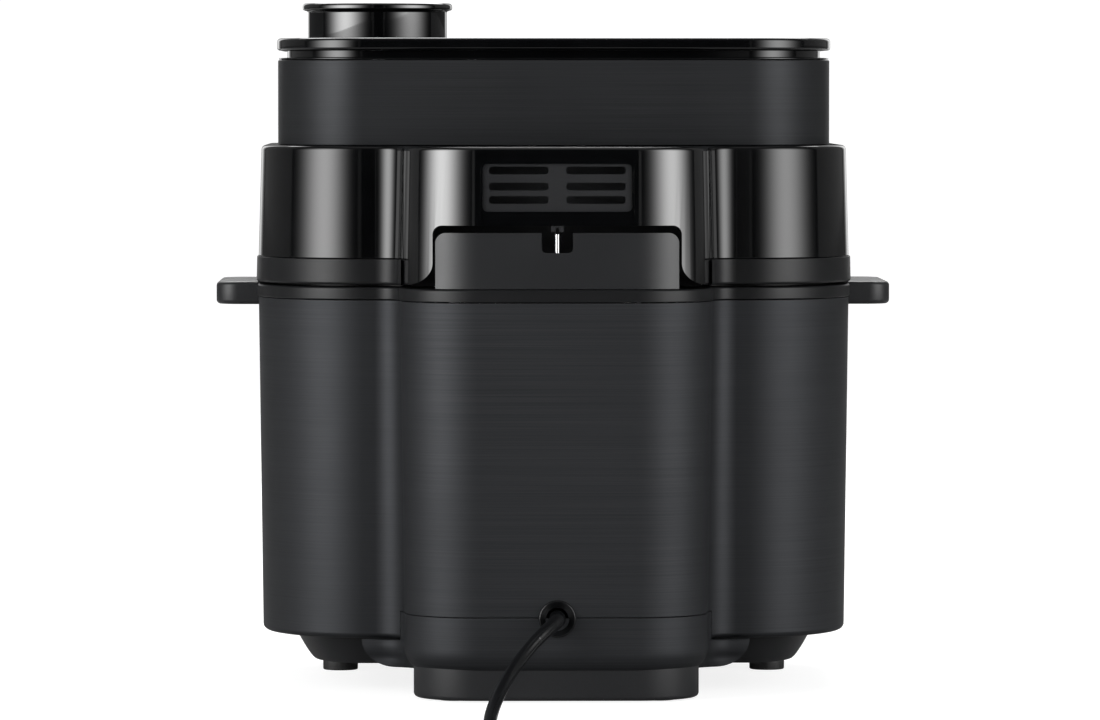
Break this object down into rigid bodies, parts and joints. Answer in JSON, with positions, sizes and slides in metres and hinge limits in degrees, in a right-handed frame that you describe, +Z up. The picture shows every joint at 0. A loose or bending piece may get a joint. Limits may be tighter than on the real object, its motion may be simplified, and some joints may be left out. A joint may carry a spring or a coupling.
{
  "type": "electric pressure cooker with crisping lid",
  "caption": "Electric pressure cooker with a tall hinged crisping lid, lift-out pot, side grips, rear hinge lobe and mains lead.",
  "frame": {"origin": "centre of the object's box, on the surface it stands on", "axes": "+Z up; the control panel faces -Y, the rear lobe with hinge and mains lead faces +Y; +X is the steam dial's side"},
  "size_m": [0.377, 0.755, 0.3795],
  "materials": {
    "brushed_black": "dark brushed satin",
    "gloss_black": "polished",
    "matte_black": "fine satin grain",
    "rubber_black": "matt",
    "cord_black": "smooth PVC",
    "steel": "brushed",
    "aluminium": "satin",
    "pot_coating": "non-stick coating",
    "silicone": "matt silicone",
    "board_green": "circuit board",
    "display_dark": "tinted lens"
  },
  "bodies": {
    "base": {"outer_housing": "brushed_black", "rear_lower_cover": "brushed_black", "rear_foot_block": "matte_black", "rear_pad_left": "rubber_black", "rear_pad_right": "rubber_black", "bottom_pan": "matte_black", "front_foot_left": "rubber_black", "front_foot_right": "rubber_black", "base_rim": "matte_black", "side_handle_left": "matte_black", "side_handle_right": "matte_black", "inner_shell": "steel", "inner_pot": "pot_coating", "heating_plate": "aluminium", "sensor_spring": "steel", "control_board": "board_green", "power_board": "board_green", "control_panel": "gloss_black", "display_lens": "display_dark", "hinge_cover": "matte_black", "hinge_bracket_left": "steel", "hinge_bracket_right": "steel", "hinge_pin": "steel", "hinge_spring": "steel", "lid_sensing_pin": "steel", "cord_bush": "matte_black", "strain_relief": "rubber_black", "power_cord": "cord_black", "cord_coil": "cord_black", "cord_tail": "cord_black", "mains_plug": "matte_black"},
    "lid": {"lid_skirt": "gloss_black", "lid_rear_panel": "gloss_black", "lid_ring": "matte_black", "lid_upper_band": "brushed_black", "lid_neck": "gloss_black", "lid_top_plate": "gloss_black", "vent_grille": "matte_black", "lid_bottom_plate": "matte_black", "lid_inner_shell": "steel", "lid_gasket": "silicone", "fan_motor": "steel", "heating_element": "steel", "element_guard": "steel", "steam_valve_tube": "steel", "lid_hinge_arm_left": "steel", "lid_hinge_arm_right": "steel", "lid_fork": "matte_black"},
    "steam_dial": {"steam_dial": "gloss_black"},
    "float_valve": {"float_valve": "steel"},
    "crisping_fan": {"crisping_fan": "aluminium"},
    "lid_release": {"lid_release_button": "matte_black", "latch_tongue": "steel"},
    "temperature_sensor": {"temperature_sensor": "aluminium"},
    "button_1": {"panel_button_1": "matte_black"},
    "button_2": {"panel_button_2": "matte_black"},
    "button_3": {"panel_button_3": "matte_black"},
    "button_4": {"panel_button_4": "matte_black"},
    "button_5": {"panel_button_5": "matte_black"},
    "button_6": {"panel_button_6": "matte_black"}
  },
  "joints": [
    {"name": "lid_hinge", "type": "hinge", "parent": "base", "child": "lid", "pos_m": [0, 0.145, 0.238], "axis": [-1, 0, 0], "range_deg": [0, 85]},
    {"name": "steam_dial_turn", "type": "hinge", "parent": "lid", "child": "steam_dial", "pos_m": [0.0986, -0.028, 0.3595], "axis": [0, 0, 1], "range_deg": [0, 90]},
    {"name": "float_valve_rise", "type": "slide", "parent": "lid", "child": "float_valve", "axis": [0, 0, 1], "range_m": [0, 0.0035]},
    {"name": "fan_spin", "type": "hinge", "parent": "lid", "child": "crisping_fan", "pos_m": [0, -0.028, 0.275], "axis": [0, 0, 1], "continuous": true},
    {"name": "lid_release_press", "type": "slide", "parent": "lid", "child": "lid_release", "axis": [0, 1, 0], "range_m": [0, 0.002], "stiffness_N_per_m": 400},
    {"name": "temperature_sensor_press", "type": "slide", "parent": "base", "child": "temperature_sensor", "axis": [0, 0, -1], "range_m": [0, 0.003], "stiffness_N_per_m": 300, "deforming": ["sensor_spring"]},
    {"name": "button_1_press", "type": "slide", "parent": "base", "child": "button_1", "axis": [0, 1, 0], "range_m": [0, 0.001], "stiffness_N_per_m": 500},
    {"name": "button_2_press", "type": "slide", "parent": "base", "child": "button_2", "axis": [0, 1, 0], "range_m": [0, 0.001], "stiffness_N_per_m": 500},
    {"name": "button_3_press", "type": "slide", "parent": "base", "child": "button_3", "axis": [0, 1, 0], "range_m": [0, 0.001], "stiffness_N_per_m": 500},
    {"name": "button_4_press", "type": "slide", "parent": "base", "child": "button_4", "axis": [0, 1, 0], "range_m": [0, 0.001], "stiffness_N_per_m": 500},
    {"name": "button_5_press", "type": "slide", "parent": "base", "child": "button_5", "axis": [0, 1, 0], "range_m": [0, 0.001], "stiffness_N_per_m": 500},
    {"name": "button_6_press", "type": "slide", "parent": "base", "child": "button_6", "axis": [0, 1, 0], "range_m": [0, 0.001], "stiffness_N_per_m": 500}
  ]
}
